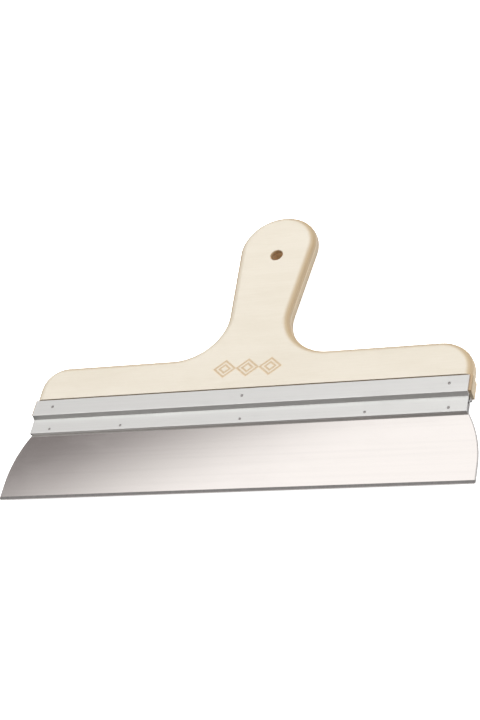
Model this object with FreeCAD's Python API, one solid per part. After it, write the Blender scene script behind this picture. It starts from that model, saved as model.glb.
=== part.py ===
import FreeCAD, Part
import math
import os

# Wide surfacing and taping knife: a plywood T-board, a stepped aluminium profile and a
# flexible steel blade. It lies on its back: X runs along the blade, Y from the blade's
# edge to the top of the grip, Z is the thickness. The origin is the centre of its
# footprint on the surface it lies on.

Vector = FreeCAD.Vector

# Driving dimensions, in millimetres.
OVERALL_LENGTH = 279.9
THICKNESS = 15.0

BLADE_WIDTH = 400.0
BLADE_THICKNESS = 0.8
BLADE_EXPOSED = 63.3
BLADE_END_STRAIGHT = 16.0
BLADE_END_RADIUS = 100.0
BLADE_CORNER_RADIUS = 1.5
BLADE_INSERT = 6.9
BLADE_INSERT_SETBACK = 1.0
BEVEL_LENGTH = 2.8
BEVEL_EDGE_THICKNESS = 0.3

PROFILE_LENGTH = 376.0
PROFILE_X = -1.0
PROFILE_HEIGHT = 30.8
FLANGE_HEIGHT = 15.5
FLANGE_THICKNESS = 1.3
STEP_HEIGHT = 1.4
LIP_HALF_THICKNESS = 3.1
CHANNEL_DEPTH = 14.2
GROOVE_HALF_WIDTH = 1.8
GROOVE_DEPTH = 4.4
WEB_THICKNESS = 1.6
CHAMBER_HALF_WIDTH = 1.4
CHAMBER_HEIGHT = 2.7
SLOT_CLEARANCE = 0.02
FLANGE_RIM_RADIUS_INNER = 0.2
FLANGE_RIM_RADIUS_OUTER = 0.35
STEP_TOP_RADIUS = 0.7
STEP_FOOT_RADIUS = 0.5
LIP_RIM_RADIUS_OUTER = 0.5
LIP_RIM_RADIUS_INNER = 0.2
CHAMBER_FOOT_RADIUS = 0.4
CHAMBER_TOP_RADIUS = 0.6
SLOT_TOP_RADIUS = 0.2
GROOVE_FLOOR_RADIUS = 0.8
GROOVE_RIM_RADIUS = 0.3

PLY_COUNT = 11
BOARD_WIDTH = 379.8
BOARD_X = -0.7
BOARD_GAP = 0.9
TONGUE_CLEARANCE = 0.2
EDGE_ROUNDING = 7.0
SHOULDER_RISE = 35.6
SHOULDER_RADIUS_LEFT = 22.0
SHOULDER_RADIUS_RIGHT = 29.5
NECK_RADIUS_LEFT = 41.0
NECK_RADIUS_RIGHT = 39.0
GRIP_TAPER = math.radians(5.1)
GRIP_LEAN = math.radians(1.5)
GRIP_ROOT_X = -2.0
GRIP_END_RADIUS = 34.8

HANG_HOLE_RADIUS = 5.5
HANG_HOLE_X = 2.8
HANG_HOLE_FROM_TOP = 45.4
HANG_HOLE_CHAMFER = 0.3

HANDLE_PIN_RADIUS = 1.1
HANDLE_PIN_DROP = 7.2
HANDLE_PIN_PLACES = (-172.0, 1.0, 172.0)
BLADE_PIN_RADIUS = 1.0
BLADE_PIN_RISE = 3.9
BLADE_PIN_PLACES = (-171.5, -105.0, 1.5, 106.0, 172.5)
PIN_RECESS = 0.35
PIN_DOME = 0.15
PIN_COUNTERSINK = 0.3

# Lengths below this count as none when edges are sorted.
TOLERANCE = 0.001

# Places that follow from them.
EDGE_Y = -OVERALL_LENGTH / 2
TOP_Y = OVERALL_LENGTH / 2
PROFILE_BOTTOM_Y = EDGE_Y + BLADE_EXPOSED
PROFILE_TOP_Y = PROFILE_BOTTOM_Y + PROFILE_HEIGHT
SHOULDER_Y = PROFILE_TOP_Y + SHOULDER_RISE
CHANNEL_FLOOR_Y = PROFILE_TOP_Y - CHANNEL_DEPTH
CHAMBER_TOP_Y = CHANNEL_FLOOR_Y - GROOVE_DEPTH - WEB_THICKNESS
MID_Z = THICKNESS / 2
PLY_THICKNESS = THICKNESS / PLY_COUNT
BOARD_SIDES = (BOARD_X - BOARD_WIDTH / 2, BOARD_X + BOARD_WIDTH / 2)
PROFILE_ENDS = (PROFILE_X - PROFILE_LENGTH / 2, PROFILE_X + PROFILE_LENGTH / 2)


def rounded_face(corners, place):
    """Flat face inside a closed outline.

    Each corner is (u, v, radius) or (u, v, radius, via): its radius rounds that corner,
    and a via point makes the side to the next corner an arc through it. place turns
    (u, v) into a point in space.
    """
    count = len(corners)
    starts, ends, arcs = [], [], []
    for i, corner in enumerate(corners):
        here = Vector(corner[0], corner[1], 0)
        radius = corner[2]
        if radius == 0:
            starts.append(here)
            ends.append(here)
            arcs.append(None)
            continue
        before = corners[i - 1]
        after = corners[(i + 1) % count]
        to_before = (Vector(before[0], before[1], 0) - here).normalize()
        to_after = (Vector(after[0], after[1], 0) - here).normalize()
        half_angle = to_before.getAngle(to_after) / 2
        reach = radius / math.tan(half_angle)
        bisector = (to_before + to_after).normalize()
        starts.append(here + to_before * reach)
        ends.append(here + to_after * reach)
        arcs.append(here + bisector * (radius / math.sin(half_angle) - radius))

    edges = []
    for i, corner in enumerate(corners):
        if arcs[i] is not None:
            points = [place(p.x, p.y) for p in (starts[i], arcs[i], ends[i])]
            edges.append(Part.Arc(*points).toShape())
        leave = ends[i]
        arrive = starts[(i + 1) % count]
        if len(corner) > 3:
            points = [place(leave.x, leave.y), place(*corner[3]), place(arrive.x, arrive.y)]
            edges.append(Part.Arc(*points).toShape())
        else:
            edges.append(Part.LineSegment(place(leave.x, leave.y), place(arrive.x, arrive.y)).toShape())
    return Part.Face(Part.Wire(edges))


def lying_flat(z):
    """Places an outline drawn in X and Y at height z."""
    return lambda x, y: Vector(x, y, z)


def across_profile(y, z):
    """Places a section drawn in Y and Z at the profile's left end."""
    return Vector(PROFILE_ENDS[0], y, z)


def box(x_range, y_range, z_range):
    size = [high - low for low, high in (x_range, y_range, z_range)]
    return Part.makeBox(*size, Vector(x_range[0], y_range[0], z_range[0]))


def save(shape, node):
    shape.exportStep("parts/" + node + ".step")


# Pins. Each stands upright in a hole with a small countersink at both faces.

def handle_pin_places():
    y = PROFILE_TOP_Y - HANDLE_PIN_DROP
    return [(x, y) for x in HANDLE_PIN_PLACES]


def blade_pin_places():
    y = PROFILE_BOTTOM_Y + BLADE_PIN_RISE
    return [(x, y) for x in BLADE_PIN_PLACES]


def pin(x, y, radius, half_span):
    """Pin with a shallow dome at both ends, set a little below faces half_span away."""
    reach = half_span - PIN_RECESS
    body = Part.makeCylinder(radius, 2 * reach, Vector(x, y, MID_Z - reach))
    dome_radius = (radius ** 2 + PIN_DOME ** 2) / (2 * PIN_DOME)
    for side in (-1, 1):
        centre = Vector(x, y, MID_Z + side * (reach + PIN_DOME - dome_radius))
        cap = Part.makeSphere(dome_radius, centre)
        slab = Part.makeCylinder(radius, PIN_DOME, Vector(x, y, MID_Z + side * reach), Vector(0, 0, side))
        body = body.fuse(cap.common(slab))
    return body.removeSplitter()


def pin_hole(x, y, radius, half_span):
    """Cutting tool for a pin's hole, with its countersinks."""
    tool = Part.makeCylinder(radius, THICKNESS, Vector(x, y, 0))
    wide = radius + PIN_COUNTERSINK
    for side in (-1, 1):
        face = Vector(x, y, MID_Z + side * half_span)
        tool = tool.fuse(Part.makeCone(wide, radius, PIN_COUNTERSINK, face, Vector(0, 0, -side)))
    return tool


# Handle board: a T-shaped plywood board with rounded edges and a square tongue below.

def grip_side(side):
    """Where the grip's right (1) or left (-1) side leaves the end's arc, and its x at the shoulder."""
    end_y = TOP_Y - GRIP_END_RADIUS
    end_x = GRIP_ROOT_X + (end_y - SHOULDER_Y) * math.tan(GRIP_LEAN)
    slope = GRIP_TAPER + side * GRIP_LEAN
    x = end_x + side * GRIP_END_RADIUS * math.cos(slope)
    y = end_y - GRIP_END_RADIUS * math.sin(slope)
    return x, y, x - side * (y - SHOULDER_Y) * math.tan(slope)


def board_outline():
    """Corners of the board above the profile, anticlockwise from its lower left."""
    base_y = PROFILE_TOP_Y + BOARD_GAP
    left, right = BOARD_SIDES
    left_x, left_y, left_neck_x = grip_side(-1)
    right_x, right_y, right_neck_x = grip_side(1)
    top_x = GRIP_ROOT_X + (TOP_Y - GRIP_END_RADIUS - SHOULDER_Y) * math.tan(GRIP_LEAN)
    return [
        (left, base_y, 0),
        (right, base_y, 0),
        (right, SHOULDER_Y, SHOULDER_RADIUS_RIGHT),
        (right_neck_x, SHOULDER_Y, NECK_RADIUS_RIGHT),
        (right_x, right_y, 0, (top_x, TOP_Y)),
        (left_x, left_y, 0),
        (left_neck_x, SHOULDER_Y, NECK_RADIUS_LEFT),
        (left, SHOULDER_Y, SHOULDER_RADIUS_LEFT),
    ]


def handle_board():
    outline = rounded_face(board_outline(), lying_flat(0))
    body = outline.extrude(Vector(0, 0, THICKNESS))
    base_y = PROFILE_TOP_Y + BOARD_GAP
    rims = []
    for edge in body.Edges:
        on_face = edge.BoundBox.ZLength < TOLERANCE
        on_base = edge.BoundBox.YLength < TOLERANCE and abs(edge.BoundBox.YMin - base_y) < TOLERANCE
        if on_face and not on_base:
            rims.append(edge)
    body = body.makeFillet(EDGE_ROUNDING, rims)

    tongue = box(
        BOARD_SIDES,
        (CHANNEL_FLOOR_Y + TONGUE_CLEARANCE, base_y),
        (PLY_THICKNESS, THICKNESS - PLY_THICKNESS),
    )
    body = body.fuse(tongue)

    hole_y = TOP_Y - HANG_HOLE_FROM_TOP
    tools = [pin_hole(x, y, HANDLE_PIN_RADIUS, MID_Z) for x, y in handle_pin_places()]
    tools.append(Part.makeCylinder(HANG_HOLE_RADIUS, THICKNESS, Vector(HANG_HOLE_X, hole_y, 0)))
    wide = HANG_HOLE_RADIUS + HANG_HOLE_CHAMFER
    for z, direction in ((0, 1), (THICKNESS, -1)):
        mouth = Vector(HANG_HOLE_X, hole_y, z)
        tools.append(Part.makeCone(wide, HANG_HOLE_RADIUS, HANG_HOLE_CHAMFER, mouth, Vector(0, 0, direction)))
    return body.cut(tools)


def ply_names():
    core = ["handle_core_veneer_%d" % number for number in range(1, PLY_COUNT - 1)]
    return ["handle_back_veneer"] + core + ["handle_front_veneer"]


def save_plies():
    """Saws the board into its veneers, from the back face up to the front face."""
    board = handle_board()
    for index, name in enumerate(ply_names()):
        low = index * PLY_THICKNESS
        slab = box(BOARD_SIDES, (EDGE_Y, TOP_Y), (low, low + PLY_THICKNESS))
        save(board.common(slab).removeSplitter(), name)


# Aluminium profile: two flanges round the board, a web, and two lips round the blade.

def profile_section():
    """Half of the section, as (y, height above the middle, radius), top to bottom."""
    slot_half_width = BLADE_THICKNESS / 2 + SLOT_CLEARANCE
    inner_half_width = MID_Z - FLANGE_THICKNESS
    shoulder_y = PROFILE_TOP_Y - FLANGE_HEIGHT
    groove_y = CHANNEL_FLOOR_Y - GROOVE_DEPTH
    chamber_bottom_y = CHAMBER_TOP_Y - CHAMBER_HEIGHT
    return [
        (groove_y, GROOVE_HALF_WIDTH, GROOVE_FLOOR_RADIUS),
        (CHANNEL_FLOOR_Y, GROOVE_HALF_WIDTH, GROOVE_RIM_RADIUS),
        (CHANNEL_FLOOR_Y, inner_half_width, 0),
        (PROFILE_TOP_Y, inner_half_width, FLANGE_RIM_RADIUS_INNER),
        (PROFILE_TOP_Y, MID_Z, FLANGE_RIM_RADIUS_OUTER),
        (shoulder_y, MID_Z, STEP_TOP_RADIUS),
        (shoulder_y - STEP_HEIGHT, LIP_HALF_THICKNESS, STEP_FOOT_RADIUS),
        (PROFILE_BOTTOM_Y, LIP_HALF_THICKNESS, LIP_RIM_RADIUS_OUTER),
        (PROFILE_BOTTOM_Y, slot_half_width, LIP_RIM_RADIUS_INNER),
        (chamber_bottom_y, slot_half_width, SLOT_TOP_RADIUS),
        (chamber_bottom_y, CHAMBER_HALF_WIDTH, CHAMBER_FOOT_RADIUS),
        (CHAMBER_TOP_Y, CHAMBER_HALF_WIDTH, CHAMBER_TOP_RADIUS),
    ]


def aluminium_profile():
    front = profile_section()
    back = [(y, -height, radius) for y, height, radius in reversed(front)]
    corners = [(y, MID_Z + height, radius) for y, height, radius in front + back]
    body = rounded_face(corners, across_profile).extrude(Vector(PROFILE_LENGTH, 0, 0))
    tools = [pin_hole(x, y, HANDLE_PIN_RADIUS, MID_Z) for x, y in handle_pin_places()]
    tools += [pin_hole(x, y, BLADE_PIN_RADIUS, LIP_HALF_THICKNESS) for x, y in blade_pin_places()]
    return body.cut(tools)


# Blade: thin sheet whose ends swell past the profile, bevelled on its front at the edge.

def blade_outline():
    """Corners of the blade, anticlockwise from the upper left of the part in the slot."""
    half_width = BLADE_WIDTH / 2
    arc_x = half_width - BLADE_END_RADIUS
    arc_y = EDGE_Y + BLADE_END_STRAIGHT
    held_x = arc_x + math.sqrt(BLADE_END_RADIUS ** 2 - (PROFILE_BOTTOM_Y - arc_y) ** 2)
    half_turn = math.asin((PROFILE_BOTTOM_Y - arc_y) / BLADE_END_RADIUS) / 2
    via_x = arc_x + BLADE_END_RADIUS * math.cos(half_turn)
    via_y = arc_y + BLADE_END_RADIUS * math.sin(half_turn)
    insert_left, insert_right = PROFILE_ENDS[0] + BLADE_INSERT_SETBACK, PROFILE_ENDS[1] - BLADE_INSERT_SETBACK
    return [
        (insert_left, PROFILE_BOTTOM_Y + BLADE_INSERT, 0),
        (insert_left, PROFILE_BOTTOM_Y, 0),
        (-held_x, PROFILE_BOTTOM_Y, 0, (-via_x, via_y)),
        (-half_width, arc_y, 0),
        (-half_width, EDGE_Y, BLADE_CORNER_RADIUS),
        (half_width, EDGE_Y, BLADE_CORNER_RADIUS),
        (half_width, arc_y, 0, (via_x, via_y)),
        (held_x, PROFILE_BOTTOM_Y, 0),
        (insert_right, PROFILE_BOTTOM_Y, 0),
        (insert_right, PROFILE_BOTTOM_Y + BLADE_INSERT, 0),
    ]


def blade():
    back_z = MID_Z - BLADE_THICKNESS / 2
    front_z = back_z + BLADE_THICKNESS
    sheet = rounded_face(blade_outline(), lying_flat(back_z)).extrude(Vector(0, 0, BLADE_THICKNESS))
    half_width = BLADE_WIDTH / 2
    wedge = [
        Vector(-half_width, EDGE_Y, back_z + BEVEL_EDGE_THICKNESS),
        Vector(-half_width, EDGE_Y + BEVEL_LENGTH, front_z),
        Vector(-half_width, EDGE_Y, front_z),
    ]
    bevel = Part.Face(Part.makePolygon(wedge + wedge[:1])).extrude(Vector(BLADE_WIDTH, 0, 0))
    holes = [Part.makeCylinder(BLADE_PIN_RADIUS, THICKNESS, Vector(x, y, 0)) for x, y in blade_pin_places()]
    return sheet.cut([bevel] + holes)


os.makedirs("parts", exist_ok=True)
save_plies()
save(aluminium_profile(), "aluminium_profile")
save(blade(), "blade")
for name, place in zip(("left", "middle", "right"), handle_pin_places()):
    save(pin(*place, HANDLE_PIN_RADIUS, MID_Z), "handle_pin_" + name)
for number, place in enumerate(blade_pin_places(), start=1):
    save(pin(*place, BLADE_PIN_RADIUS, LIP_HALF_THICKNESS), "blade_pin_%d" % number)
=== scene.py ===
import math

import bpy
from mathutils import Matrix, Vector


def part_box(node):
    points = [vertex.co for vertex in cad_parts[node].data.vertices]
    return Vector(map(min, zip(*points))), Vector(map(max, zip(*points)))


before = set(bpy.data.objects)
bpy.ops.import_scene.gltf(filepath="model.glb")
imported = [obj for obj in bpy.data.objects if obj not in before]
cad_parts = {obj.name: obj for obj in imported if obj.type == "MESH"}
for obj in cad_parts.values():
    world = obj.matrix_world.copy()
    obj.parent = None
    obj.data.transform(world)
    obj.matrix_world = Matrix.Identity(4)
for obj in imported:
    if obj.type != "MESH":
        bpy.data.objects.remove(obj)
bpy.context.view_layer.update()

# A wide taping knife on a pale studio floor: plywood handle, satin aluminium profile,
# polished steel blade. Lengths are in metres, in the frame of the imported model: X along
# the blade, Y from the blade's edge to the top of the grip, Z up out of the front face.

MM = 0.001

# Camera, round a point near the middle of the knife.
CAMERA_AZIMUTH = math.radians(34.13)
CAMERA_ELEVATION = math.radians(45.91)
CAMERA_ROLL = math.radians(-29.9)
CAMERA_DISTANCE = 1.3393
CAMERA_AIM = Vector((-0.0121, -0.01075, 0.0075))
CAMERA_LENS_MM = 81.7
SENSOR_MM = 36.0

# Studio: a bright ceiling that ends in a soft slanting edge, dimmer walls, a dark ground
# under the knife, a soft lamp behind it and a weak one low on its right.
CEILING_LEAN = Vector((0.2006, -0.5618, 0.8026))
CEILING_START = 0.173
CEILING_FULL = 0.247
CEILING_LOW = 0.55
CEILING_HIGH = 0.66
CEILING_SIDE = Vector((-0.45, 0.89, 0.0))
CEILING_SIDE_START = -0.40
CEILING_SIDE_FULL = 0.10
CEILING_COLOUR = (1.60, 1.56, 1.55)
WALL_COLOUR = (0.33, 0.30, 0.30)
GROUND_COLOUR = (0.17, 0.17, 0.17)
HORIZON_SOFTNESS = 0.05
LAMP_PLACE = Vector((-0.55, 0.95, 1.65))
LAMP_SIZE = 1.3
LAMP_WATTS = 33.0
FILL_PLACE = Vector((1.30, -0.20, 0.22))
FILL_SIZE = 0.8
FILL_WATTS = 14.0

# Floor and backdrop.
FLOOR_RADIUS = 40.0
FLOOR_RINGS = (0.0005, 0.5, 2.0, FLOOR_RADIUS)
FLOOR_COLOUR = (0.90, 0.90, 0.90)
FLOOR_DIMMER = 0.985
FLOOR_GLOW = 0.92
FLOOR_RELIEF = 0.02 * MM
BACKDROP_HEIGHT = 30.0
BACKDROP_GLOW = 1.1
BACKDROP_TOP_SHARE = 0.94
BACKDROP_DIM = (0.9, 0.9, 0.9)
RING_SIDES = 96

# Linear colours.
WHITE = (1.0, 1.0, 1.0)
BLACK = (0.0, 0.0, 0.0)
FACE_PALE = (0.570, 0.538, 0.460)
FACE_DEEP = (0.530, 0.493, 0.410)
FACE_PORE = (0.480, 0.410, 0.310)
# Painted shade for the veneer's rounded rim, strongest where it faces right.
FACE_RIM_SHADE = (0.380, 0.292, 0.174)
BROWN_PLY = (0.310, 0.225, 0.128)
SCORCH = (0.400, 0.290, 0.175)
SCORCH_HALO = (0.580, 0.485, 0.335)
# Painted warm light on the wall of the hang hole.
BORE_WALL_PAINTED_LIGHT = (0.980, 0.640, 0.340)
LONG_GRAIN = (0.760, 0.660, 0.500)
END_GRAIN = (0.560, 0.440, 0.290)
GLUE_LINE = (0.340, 0.240, 0.150)
ALUMINIUM = (0.762, 0.780, 0.764)
ALUMINIUM_DULL = (0.665, 0.680, 0.668)
ALUMINIUM_SAWN = (0.780, 0.778, 0.770)
STEEL = (0.610, 0.590, 0.570)
# Dark steel for fine scratches and random bands, and painted shade on the blade's bevel and rim.
STEEL_SCRATCH_AND_SHADE = (0.140, 0.137, 0.135)
PIN_STEEL = (0.420, 0.412, 0.405)
# Dark steel for the pin's random tone, and painted shade round the edge of its head.
PIN_DIRT_AND_SHADE = (0.200, 0.190, 0.180)

# How deep each surface's relief is.
FACE_RELIEF = 0.05 * MM
CORE_RELIEF = 0.08 * MM
ALUMINIUM_RELIEF = 0.012 * MM
STEEL_RELIEF = 0.0003 * MM
PIN_RELIEF = 0.02 * MM

# The scorched mark: a row of diamonds, each with a smaller one inside it.
MARK_RISE = 20.9 * MM
MARK_PITCH = 20.0 * MM
MARK_COUNT = 3
MARK_HALF_WIDTH = 9.0 * MM
MARK_HALF_HEIGHT = 8.0 * MM
MARK_INNER = 0.5
MARK_STROKE = 0.85 * MM
MARK_HALO = 2.2 * MM
MARK_END_FADE = 0.5 * MM
MARK_DEPTH_IN_RELIEFS = 4.0

# Plywood. The two core veneers next to the front face are the browner ones.
CORE_NUMBERS = range(1, 10)
BROWN_SHARES = {9: 0.75, 8: 0.6}
BROWN_SHARE_DEEPER = 0.1
NOISE_SHIFT_PER_PLY = 2.3
NOISE_SHIFT_BACK = 31.0
GLUE_REACH = 0.16 * MM

# The hang hole and the blade's outline, as the model has them, and how far the blade's
# less shaded tip and its painted-shade rim reach in from the edge.
HOLE_X = 2.8 * MM
HOLE_FROM_TOP = 45.4 * MM
HOLE_RADIUS = 5.5 * MM
BEVEL_LENGTH = 2.8 * MM
TIP_LENGTH = 0.7 * MM
RIM_WIDTH = 1.0 * MM
BLADE_END_RADIUS = 100 * MM
BLADE_END_STRAIGHT = 16 * MM


class Graph:
    """A node tree. Every call except put adds nodes and gives the last one's output."""

    def __init__(self, tree):
        self.tree = tree

    def put(self, socket, value):
        """Links value to socket if it is another node's output, and sets it if it is a constant."""
        if isinstance(value, bpy.types.NodeSocket):
            self.tree.links.new(value, socket)
        elif isinstance(value, tuple) and socket.type == "RGBA":
            socket.default_value = (*value, 1.0)
        else:
            socket.default_value = value

    def math(self, operation, *values):
        made = self.tree.nodes.new("ShaderNodeMath")
        made.operation = operation
        for socket, value in zip(made.inputs, values):
            self.put(socket, value)
        return made.outputs[0]

    def plus(self, first, second):
        return self.math("ADD", first, second)

    def minus(self, first, second):
        return self.math("SUBTRACT", first, second)

    def times(self, first, second):
        return self.math("MULTIPLY", first, second)

    def over(self, first, second):
        return self.math("DIVIDE", first, second)

    def absolute(self, value):
        return self.math("ABSOLUTE", value)

    def ramp(self, value, low, high, to_low=0.0, to_high=1.0):
        """Turns value smoothly from to_low at low into to_high at high."""
        made = self.tree.nodes.new("ShaderNodeMapRange")
        made.interpolation_type = "SMOOTHSTEP"
        for name, number in (("Value", value), ("From Min", low), ("From Max", high),
                             ("To Min", to_low), ("To Max", to_high)):
            self.put(made.inputs[name], number)
        return made.outputs["Result"]

    def spread(self, noise, to_low=0.0, to_high=1.0):
        """Turns noise, most of which lies from 0.3 to 0.7, into to_low to to_high."""
        return self.ramp(noise, 0.3, 0.7, to_low, to_high)

    def mix(self, share, first, second):
        made = self.tree.nodes.new("ShaderNodeMix")
        made.data_type = "RGBA"
        self.put(made.inputs["Factor"], share)
        self.put(made.inputs["A"], first)
        self.put(made.inputs["B"], second)
        return made.outputs["Result"]


class Shader(Graph):
    """One material, drawn from places and directions in the model's frame."""

    def __init__(self, name):
        self.material = bpy.data.materials.new(name)
        self.material.use_nodes = True
        super().__init__(self.material.node_tree)
        self.tree.nodes.clear()
        self.surface = self.tree.nodes.new("ShaderNodeBsdfPrincipled")
        output = self.tree.nodes.new("ShaderNodeOutputMaterial")
        self.tree.links.new(self.surface.outputs["BSDF"], output.inputs["Surface"])
        self.place = self.tree.nodes.new("ShaderNodeTexCoord").outputs["Object"]
        self.normal = self.tree.nodes.new("ShaderNodeNewGeometry").outputs["Normal"]

    def axes(self, vector):
        made = self.tree.nodes.new("ShaderNodeSeparateXYZ")
        self.put(made.inputs[0], vector)
        return made.outputs[0], made.outputs[1], made.outputs[2]

    def facing(self, axis):
        """How far the surface faces along the axis X, Y or Z, either way: from 0 to 1."""
        return self.absolute(self.axes(self.normal)["XYZ".index(axis)])

    def from_axis(self, axis_x, axis_y):
        """How far a place is from the upright axis at (axis_x, axis_y)."""
        x, y, _ = self.axes(self.place)
        dx = self.minus(x, axis_x)
        dy = self.minus(y, axis_y)
        return self.math("SQRT", self.plus(self.times(dx, dx), self.times(dy, dy)))

    def noise(self, size, detail=2.0, roughness=0.5, shift=0.0, distortion=0.0):
        """Noise whose blotches are about size (x, y, z) large. Each shift gives another pattern."""
        stretch = self.tree.nodes.new("ShaderNodeMapping")
        stretch.inputs["Scale"].default_value = [1.0 / s for s in size]
        stretch.inputs["Location"].default_value = (shift, 1.7 * shift, 0.6 * shift)
        self.put(stretch.inputs["Vector"], self.place)
        made = self.tree.nodes.new("ShaderNodeTexNoise")
        self.put(made.inputs["Vector"], stretch.outputs[0])
        made.inputs["Scale"].default_value = 1.0
        made.inputs["Detail"].default_value = detail
        made.inputs["Roughness"].default_value = roughness
        made.inputs["Distortion"].default_value = distortion
        return made.outputs["Fac"]

    def bump(self, height, depth):
        made = self.tree.nodes.new("ShaderNodeBump")
        made.inputs["Distance"].default_value = depth
        self.put(made.inputs["Height"], height)
        return made.outputs["Normal"]

    def finish(self, colour, roughness, normal, **constants):
        """Links the surface and sets its constants, named with _ for a space."""
        self.put(self.surface.inputs["Base Color"], colour)
        self.put(self.surface.inputs["Roughness"], roughness)
        self.put(self.surface.inputs["Normal"], normal)
        for name, value in constants.items():
            self.put(self.surface.inputs[name.replace("_", " ")], value)
        return self.material


# Wood.

def from_diamonds(s, x, up):
    """How far a place is from the nearest side of a diamond, where up is its height in the row."""
    across = s.math("PINGPONG", x, MARK_PITCH / 2)
    scaled = s.plus(s.over(across, MARK_HALF_WIDTH), s.over(s.absolute(up), MARK_HALF_HEIGHT))
    from_outer = s.absolute(s.minus(scaled, 1.0))
    from_inner = s.absolute(s.minus(scaled, MARK_INNER))
    slant = math.hypot(1 / MARK_HALF_WIDTH, 1 / MARK_HALF_HEIGHT)
    return s.over(s.math("MINIMUM", from_outer, from_inner), slant)


def scorched_mark(s, centre_y):
    """How deep the wood is scorched by the mark, and how tanned round it."""
    x, y, _ = s.axes(s.place)
    nearest = from_diamonds(s, x, s.minus(y, centre_y))
    on_top = s.ramp(s.axes(s.normal)[2], 0.5, 0.9)
    half_row = MARK_PITCH * MARK_COUNT / 2
    along = s.absolute(x)

    row = s.times(s.ramp(along, half_row - MARK_END_FADE, half_row, 1.0, 0.0), on_top)
    uneven = s.ramp(s.noise((1.4 * MM, 0.9 * MM, MM), detail=3.0), 0.25, 0.60, 0.45, 1.0)
    stroke = s.ramp(nearest, MARK_STROKE * 0.6, MARK_STROKE * 1.3, 1.0, 0.0)
    scorch = s.times(s.times(stroke, uneven), row)

    tanned_row = s.times(s.ramp(along, half_row - MM, half_row + MARK_HALO, 1.0, 0.0), on_top)
    halo = s.times(s.ramp(nearest, 0.0, MARK_HALO, 1.0, 0.0), tanned_row)
    return scorch, halo


def bored(s, colour):
    """Colours the wall of the hang hole bright orange: painted warm light inside the hole."""
    hole_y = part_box("handle_front_veneer")[1].y - HOLE_FROM_TOP
    out = s.from_axis(HOLE_X, hole_y)
    near = s.ramp(out, HOLE_RADIUS + 0.1 * MM, HOLE_RADIUS + 0.4 * MM, 1.0, 0.0)
    wall = s.ramp(s.facing("Z"), 0.2, 0.5, 1.0, 0.0)
    # Painted warm light on the hole's wall.
    return s.mix(s.times(near, wall), colour, BORE_WALL_PAINTED_LIGHT)


def shaded_rim(s, fibres):
    """How much painted shade darkens the veneer's rounded rim: more where it is steeper, and less on
    the left.
    """
    level = s.math("MINIMUM", s.facing("Z"), 1.0)
    steep = s.math("SQRT", s.minus(1.0, level))
    rim = s.times(s.ramp(steep, 0.0, 0.40), s.ramp(fibres, 0.2, 0.8, 0.8, 1.0))
    to_right = s.ramp(s.axes(s.normal)[0], -0.5, 0.2, 0.35, 1.0)
    return s.times(rim, to_right)


def face_veneer(name, mark_y=None, shift=0.0):
    """Fine sanded pale veneer, its grain along X, with painted shade on its rounded rim."""
    s = Shader(name)
    figure = s.noise((90 * MM, 14 * MM, 14 * MM), 3.0, 0.55, shift, 0.6)
    fibres = s.noise((14 * MM, 0.35 * MM, 0.35 * MM), 3.0, 0.6, shift + 3.0)
    blotch = s.noise((35 * MM, 25 * MM, 25 * MM), 2.0, 0.5, shift + 7.0)
    pores = s.ramp(s.noise((3.2 * MM, 0.22 * MM, 0.22 * MM), 1.0, 0.5, shift + 11.0), 0.66, 0.74)

    share = s.plus(s.times(figure, 0.5), s.times(fibres, 0.5))
    colour = s.mix(s.ramp(share, 0.30, 0.72), FACE_PALE, FACE_DEEP)
    colour = s.mix(s.ramp(blotch, 0.45, 0.75, 0.0, 0.35), colour, FACE_DEEP)
    colour = s.mix(s.times(pores, 0.40), colour, FACE_PORE)
    # Painted shade on the rounded rim, strongest where it faces right.
    colour = s.mix(shaded_rim(s, fibres), colour, FACE_RIM_SHADE)
    rough = s.spread(fibres, 0.52, 0.66)
    height = s.minus(fibres, s.times(pores, 0.8))

    if mark_y is not None:
        scorch, halo = scorched_mark(s, mark_y)
        colour = s.mix(s.times(halo, 0.75), colour, SCORCH_HALO)
        colour = s.mix(s.times(scorch, 0.80), colour, SCORCH)
        rough = s.plus(rough, s.times(scorch, 0.15))
        height = s.minus(height, s.times(scorch, MARK_DEPTH_IN_RELIEFS))
    return s.finish(bored(s, colour), rough, s.bump(height, FACE_RELIEF), Specular_IOR_Level=0.35,
                    Coat_Weight=0.5, Coat_Roughness=0.35)


def core_veneer(name, low, high, grain_along_x, brown, shift):
    """Sawn and sanded edge of one inner veneer between the heights low and high."""
    s = Shader(name)
    cut_across = s.ramp(s.facing("X" if grain_along_x else "Y"), 0.35, 0.9)
    lines = s.noise((18 * MM, 18 * MM, 0.22 * MM), 3.0, 0.6, shift)
    flecks = s.noise((0.5 * MM, 0.5 * MM, 0.9 * MM), 2.0, 0.6, shift + 5.0)
    patches = s.noise((16 * MM, 16 * MM, 5 * MM), 2.0, 0.5, shift + 9.0)
    pores = s.ramp(s.noise((0.25 * MM, 0.25 * MM, 0.3 * MM), 1.0, 0.5, shift + 13.0), 0.60, 0.72)

    end_grain = s.mix(s.spread(flecks), END_GRAIN, LONG_GRAIN)
    end_grain = s.mix(s.times(pores, 0.6), end_grain, GLUE_LINE)
    long_grain = s.mix(s.ramp(lines, 0.3, 0.75), LONG_GRAIN, END_GRAIN)
    colour = s.mix(cut_across, long_grain, end_grain)
    colour = s.mix(s.ramp(patches, 0.35, 0.7, 0.0, 0.5), colour, FACE_DEEP)
    colour = s.mix(brown, colour, BROWN_PLY)

    z = s.axes(s.place)[2]
    from_joint = s.math("MINIMUM", s.minus(z, low), s.minus(high, z))
    glue = s.ramp(from_joint, 0.02 * MM, GLUE_REACH, 0.55, 0.0)
    colour = s.mix(glue, colour, GLUE_LINE)
    rough = s.spread(flecks, 0.62, 0.80)
    height = s.plus(s.times(lines, 0.6), s.times(flecks, cut_across))
    return s.finish(bored(s, colour), rough, s.bump(height, CORE_RELIEF), Specular_IOR_Level=0.25)


# Metal.

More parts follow.
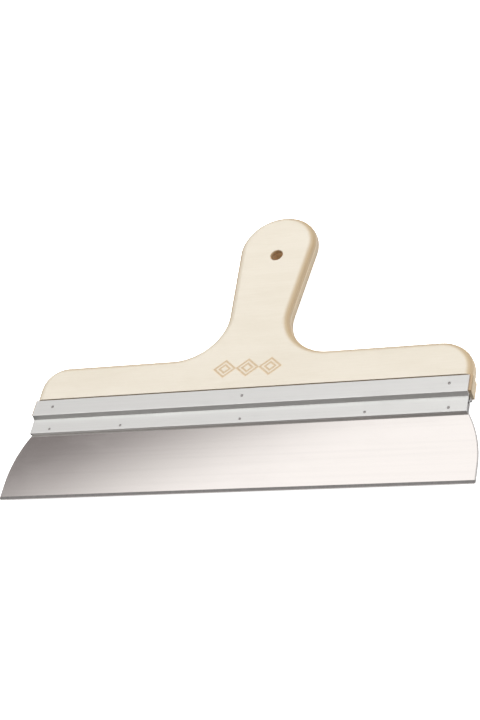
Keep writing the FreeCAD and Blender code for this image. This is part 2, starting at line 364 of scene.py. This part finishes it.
def aluminium(name):
    """Satin extrusion: faint die lines along X, soft marks, a few scratches, rougher sawn ends."""
    s = Shader(name)
    die_lines = s.noise((400 * MM, 0.30 * MM, 0.30 * MM), 2.0, 0.6)
    wide_lines = s.noise((600 * MM, 1.8 * MM, 1.8 * MM), 2.0, 0.5, 4.0)
    marks = s.noise((22 * MM, 9 * MM, 9 * MM), 3.0, 0.6, 8.0)
    scratches = s.ramp(s.noise((9 * MM, 0.12 * MM, 0.12 * MM), 1.0, 0.5, 12.0, 0.4), 0.72, 0.78)
    sawn = s.ramp(s.facing("X"), 0.5, 0.8)

    share = s.plus(s.times(die_lines, 0.5), s.times(wide_lines, 0.5))
    colour = s.mix(s.ramp(share, 0.35, 0.75, 0.0, 0.35), ALUMINIUM, ALUMINIUM_DULL)
    colour = s.mix(s.ramp(marks, 0.55, 0.80, 0.0, 0.25), colour, ALUMINIUM_DULL)
    colour = s.mix(s.times(scratches, 0.25), colour, ALUMINIUM_DULL)
    colour = s.mix(sawn, colour, ALUMINIUM_SAWN)
    rough = s.plus(s.spread(marks, 0.38, 0.46), s.times(scratches, 0.1))
    rough = s.plus(rough, s.times(sawn, 0.20))
    height = s.minus(share, s.times(scratches, 0.5))
    s.put(s.surface.inputs["Metallic"], s.minus(1.0, s.times(sawn, 0.35)))
    return s.finish(colour, rough, s.bump(height, ALUMINIUM_RELIEF))


def blade_edge_shade(s, low, high):
    """How much painted shade the blade's edge gets: all its bevel, less at the very tip, and less
    its curved rim.
    """
    x, y, _ = s.axes(s.place)
    bevel_y = low.y + BEVEL_LENGTH
    bevel = s.ramp(y, bevel_y - 0.03 * BEVEL_LENGTH, bevel_y + 0.03 * BEVEL_LENGTH, 1.0, 0.0)
    tip = s.ramp(y, low.y, low.y + TIP_LENGTH, 0.55, 0.0)

    above = s.math("MAXIMUM", s.minus(y, low.y + BLADE_END_STRAIGHT), 0.0)
    reach = s.math("SQRT", s.minus(BLADE_END_RADIUS ** 2, s.times(above, above)))
    end_x = s.plus(reach, high.x - BLADE_END_RADIUS)
    from_end = s.minus(end_x, s.absolute(x))
    rim = s.ramp(from_end, RIM_WIDTH * 0.8, RIM_WIDTH * 1.1, 1.0, 0.0)
    return s.math("MAXIMUM", s.minus(bevel, tip), s.times(rim, 0.45))


def blade_steel(name, low, high):
    """Polished sheet with a fine rolled grain along X, a rougher bevel and rim, and painted shade on
    them.
    """
    s = Shader(name)
    grain = s.noise((120 * MM, 0.16 * MM, 0.16 * MM), 3.0, 0.65)
    bands = s.noise((260 * MM, 3.5 * MM, 3.5 * MM), 2.0, 0.5, 5.0)
    smears = s.noise((45 * MM, 22 * MM, 22 * MM), 3.0, 0.55, 9.0, 0.8)
    hairlines = s.ramp(s.noise((16 * MM, 0.10 * MM, 0.10 * MM), 1.0, 0.5, 15.0, 0.5), 0.73, 0.79)
    grind = s.noise((0.14 * MM, 4 * MM, 4 * MM), 2.0, 0.6, 21.0)
    edge_shade = blade_edge_shade(s, low, high)
    on_side = s.ramp(s.facing("Z"), 0.3, 0.8, 1.0, 0.0)

    colour = s.mix(s.ramp(bands, 0.4, 0.8, 0.0, 0.04), STEEL, STEEL_SCRATCH_AND_SHADE)
    colour = s.mix(s.times(hairlines, 0.06), colour, STEEL_SCRATCH_AND_SHADE)
    dark = s.mix(s.spread(grind, 0.0, 0.15), STEEL_SCRATCH_AND_SHADE, STEEL)
    # Painted shade on the bevel and rim.
    colour = s.mix(edge_shade, colour, dark)
    polished = s.plus(s.ramp(smears, 0.35, 0.75, 0.05, 0.075), s.times(grain, 0.015))
    rough = s.plus(polished, s.times(s.math("MAXIMUM", edge_shade, on_side), 0.34))
    height = s.plus(s.times(grain, 0.5), s.times(s.times(grind, edge_shade), 2.0))
    height = s.minus(height, s.times(hairlines, 0.5))
    return s.finish(colour, rough, s.bump(height, STEEL_RELIEF), Metallic=1.0)


def pin_steel(name, centre, radius):
    """Dark steel pin, with painted shade round the edge of its head where it meets the hole."""
    s = Shader(name)
    rim_shade = s.ramp(s.from_axis(centre.x, centre.y), radius * 0.55, radius)
    turned = s.noise((0.35 * MM, 0.35 * MM, 0.35 * MM), 3.0, 0.6)
    colour = s.mix(s.ramp(turned, 0.35, 0.7, 0.0, 0.6), PIN_STEEL, PIN_DIRT_AND_SHADE)
    # Painted shade round the edge of the pin's head.
    colour = s.mix(rim_shade, colour, PIN_DIRT_AND_SHADE)
    rough = s.plus(s.spread(turned, 0.34, 0.5), s.times(rim_shade, 0.25))
    return s.finish(colour, rough, s.bump(turned, PIN_RELIEF), Metallic=0.9)


def dress(node, material):
    """Puts a material into every material slot of a CAD node."""
    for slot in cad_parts[node].material_slots:
        slot.material = material


def dress_knife():
    mark_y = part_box("aluminium_profile")[1].y + MARK_RISE
    dress("handle_front_veneer", face_veneer("birch_face_front", mark_y))
    dress("handle_back_veneer", face_veneer("birch_face_back", shift=NOISE_SHIFT_BACK))
    for number in CORE_NUMBERS:
        node = "handle_core_veneer_%d" % number
        low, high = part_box(node)
        brown = BROWN_SHARES.get(number, BROWN_SHARE_DEEPER)
        dress(node, core_veneer("birch_core_%d" % number, low.z, high.z, number % 2 == 0,
                                brown, NOISE_SHIFT_PER_PLY * number))
    dress("aluminium_profile", aluminium("satin_aluminium"))
    dress("blade", blade_steel("blade_steel", *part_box("blade")))
    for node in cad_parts:
        if "pin" in node:
            low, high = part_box(node)
            dress(node, pin_steel("steel_" + node, (low + high) / 2, (high.x - low.x) / 2))


# Studio.

def ring_mesh(name, rings):
    """Surface of revolution about Z through rings of (radius, height), as part of the stage."""
    points, faces = [], []
    for radius, height in rings:
        for i in range(RING_SIDES):
            angle = 2 * math.pi * i / RING_SIDES
            points.append((radius * math.cos(angle), radius * math.sin(angle), height))
    for ring in range(len(rings) - 1):
        for i in range(RING_SIDES):
            a, b = ring * RING_SIDES + i, ring * RING_SIDES + (i + 1) % RING_SIDES
            faces.append((a, b, b + RING_SIDES, a + RING_SIDES))
    mesh = bpy.data.meshes.new(name)
    mesh.from_pydata(points, [], faces)
    made = bpy.data.objects.new(name, mesh)
    bpy.context.scene.collection.objects.link(made)
    return made


def studio_floor():
    """Pale floor, which the knife neither mirrors nor is lit by."""
    floor = ring_mesh("studio_floor", [(radius, 0.0) for radius in FLOOR_RINGS])
    s = Shader("pale_floor")
    tone = s.noise((400 * MM, 400 * MM, 400 * MM))
    speck = s.noise((2 * MM, 2 * MM, 2 * MM))
    dimmer = tuple(FLOOR_DIMMER * c for c in FLOOR_COLOUR)
    colour = s.mix(s.spread(tone), FLOOR_COLOUR, dimmer)
    material = s.finish(colour, s.spread(speck, 0.75, 0.85), s.bump(speck, FLOOR_RELIEF),
                        Specular_IOR_Level=0.1, Emission_Color=WHITE, Emission_Strength=FLOOR_GLOW)
    floor.data.materials.append(material)
    floor.visible_diffuse = False
    floor.visible_glossy = False


def studio_backdrop():
    """Pale wall far round the floor, which only the camera sees."""
    backdrop = ring_mesh("studio_backdrop", [(FLOOR_RADIUS, 0.0), (FLOOR_RADIUS, BACKDROP_HEIGHT)])
    s = Shader("pale_backdrop")
    haze = s.ramp(s.axes(s.place)[2], 0.0, BACKDROP_HEIGHT, 1.0, BACKDROP_TOP_SHARE)
    s.put(s.surface.inputs["Emission Color"], s.mix(haze, BACKDROP_DIM, WHITE))
    s.finish(BLACK, 1.0, s.bump(haze, MM), Specular_IOR_Level=0.0, Emission_Strength=BACKDROP_GLOW)
    backdrop.data.materials.append(s.material)
    backdrop.visible_diffuse = False
    backdrop.visible_glossy = False
    backdrop.visible_shadow = False
    backdrop.visible_transmission = False


class Sky(Graph):
    """The studio's walls and ceiling, as colour by direction."""

    def __init__(self):
        world = bpy.data.worlds.new("studio")
        world.use_nodes = True
        bpy.context.scene.world = world
        super().__init__(world.node_tree)
        self.direction = self.tree.nodes.new("ShaderNodeTexCoord").outputs["Generated"]

    def along(self, axis, start, full):
        """Rises smoothly from 0 to 1 as the direction leans towards axis."""
        dot = self.tree.nodes.new("ShaderNodeVectorMath")
        dot.operation = "DOT_PRODUCT"
        dot.inputs[1].default_value = axis
        self.put(dot.inputs[0], self.direction)
        return self.ramp(dot.outputs["Value"], start, full)


def studio_lamp(name, place, size, watts):
    """Round lamp that points at the origin and shows in no reflection."""
    lamp = bpy.data.lights.new(name, "AREA")
    lamp.shape = "DISK"
    lamp.size = size
    lamp.energy = watts
    holder = bpy.data.objects.new(name, lamp)
    holder.location = place
    holder.rotation_euler = (-place).to_track_quat("-Z", "Y").to_euler()
    holder.visible_glossy = False
    bpy.context.scene.collection.objects.link(holder)


def studio_light():
    sky = Sky()
    up = Vector((0.0, 0.0, 1.0))
    edge = sky.along(CEILING_LEAN, CEILING_START, CEILING_FULL)
    high = sky.along(up, CEILING_LOW, CEILING_HIGH)
    behind = sky.along(CEILING_SIDE, CEILING_SIDE_START, CEILING_SIDE_FULL)
    ceiling = sky.times(sky.times(edge, high), behind)
    above_ground = sky.along(up, -HORIZON_SOFTNESS, HORIZON_SOFTNESS)
    walls = sky.mix(above_ground, GROUND_COLOUR, WALL_COLOUR)
    colour = sky.mix(ceiling, walls, CEILING_COLOUR)
    sky.put(sky.tree.nodes["Background"].inputs["Color"], colour)
    studio_lamp("softbox", LAMP_PLACE, LAMP_SIZE, LAMP_WATTS)
    studio_lamp("fill", FILL_PLACE, FILL_SIZE, FILL_WATTS)


def studio_camera():
    data = bpy.data.cameras.new("camera")
    data.lens = CAMERA_LENS_MM
    data.sensor_width = SENSOR_MM
    data.sensor_fit = "AUTO"
    camera = bpy.data.objects.new("camera", data)
    back = Vector((
        math.sin(CAMERA_AZIMUTH) * math.cos(CAMERA_ELEVATION),
        -math.cos(CAMERA_AZIMUTH) * math.cos(CAMERA_ELEVATION),
        math.sin(CAMERA_ELEVATION),
    ))
    level = back.to_track_quat("Z", "Y").to_matrix().to_4x4()
    roll = Matrix.Rotation(CAMERA_ROLL, 4, "Z")
    camera.matrix_world = Matrix.Translation(CAMERA_AIM + back * CAMERA_DISTANCE) @ level @ roll
    bpy.context.scene.collection.objects.link(camera)
    bpy.context.scene.camera = camera


studio_camera()
studio_light()
studio_floor()
studio_backdrop()
dress_knife()
bpy.context.scene.view_settings.view_transform = "Standard"
bpy.context.view_layer.update()
